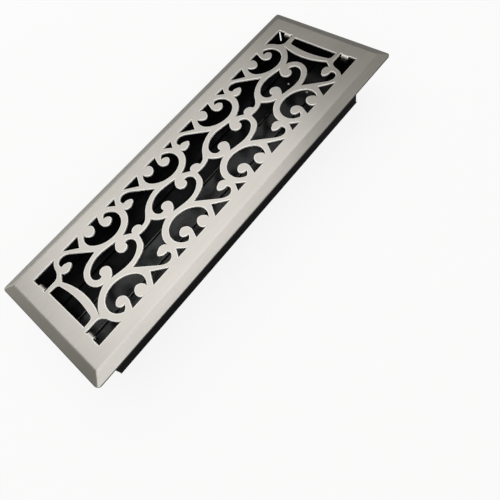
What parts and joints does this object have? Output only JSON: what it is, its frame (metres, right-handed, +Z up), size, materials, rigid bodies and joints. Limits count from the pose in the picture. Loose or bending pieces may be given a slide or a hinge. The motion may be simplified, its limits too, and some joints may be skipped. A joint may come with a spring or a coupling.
{
  "type": "floor register",
  "caption": "Rectangular floor register with a bevelled, scroll-pierced faceplate over an open damper box whose linked louver blades open and close the air flow.",
  "frame": {"origin": "bottom centre of the bounding box: under the middle of the faceplate, level with the lower edge of the damper box", "axes": "+Y along the length towards the hooked-wall end, +X across the width, +Z up out of the floor"},
  "size_m": [0.1396, 0.3938, 0.0564],
  "materials": {
    "plate": "satin brushed nickel plating on stamped steel",
    "black_paint": "semi-gloss black enamel on sheet steel"
  },
  "bodies": {
    "register": {"faceplate": "plate", "damper_box": "black_paint"},
    "blade_1": {"blade_1": "black_paint"},
    "blade_2": {"blade_2": "black_paint"},
    "blade_3": {"blade_3": "black_paint"},
    "blade_4": {"blade_4": "black_paint"},
    "tie": {"tie_bar": "black_paint"}
  },
  "joints": [
    {"name": "blade_1_turn", "type": "hinge", "parent": "register", "child": "blade_1", "pos_m": [-0.0354, -0.00592, 0.0307], "axis": [0, 1, 0], "range_deg": [0, 85]},
    {"name": "blade_2_turn", "type": "hinge", "parent": "register", "child": "blade_2", "pos_m": [-0.0118, -0.00592, 0.0307], "axis": [0, 1, 0], "range_deg": [0, 85]},
    {"name": "blade_3_turn", "type": "hinge", "parent": "register", "child": "blade_3", "pos_m": [0.0118, -0.00592, 0.0307], "axis": [0, 1, 0], "range_deg": [0, 85]},
    {"name": "blade_4_turn", "type": "hinge", "parent": "register", "child": "blade_4", "pos_m": [0.0354, -0.00592, 0.0307], "axis": [0, 1, 0], "range_deg": [0, 85]},
    {"name": "tie_turn", "type": "hinge", "parent": "blade_2", "child": "tie", "pos_m": [-0.00639, -0.18289, 0.0248], "axis": [0, 1, 0], "range_deg": [-85, 0]}
  ],
  "couplings": [
    {"joint": "blade_1_turn", "follows": "blade_2_turn", "ratio": 1},
    {"joint": "blade_3_turn", "follows": "blade_2_turn", "ratio": 1},
    {"joint": "blade_4_turn", "follows": "blade_2_turn", "ratio": 1},
    {"joint": "tie_turn", "follows": "blade_2_turn", "ratio": -1}
  ]
}
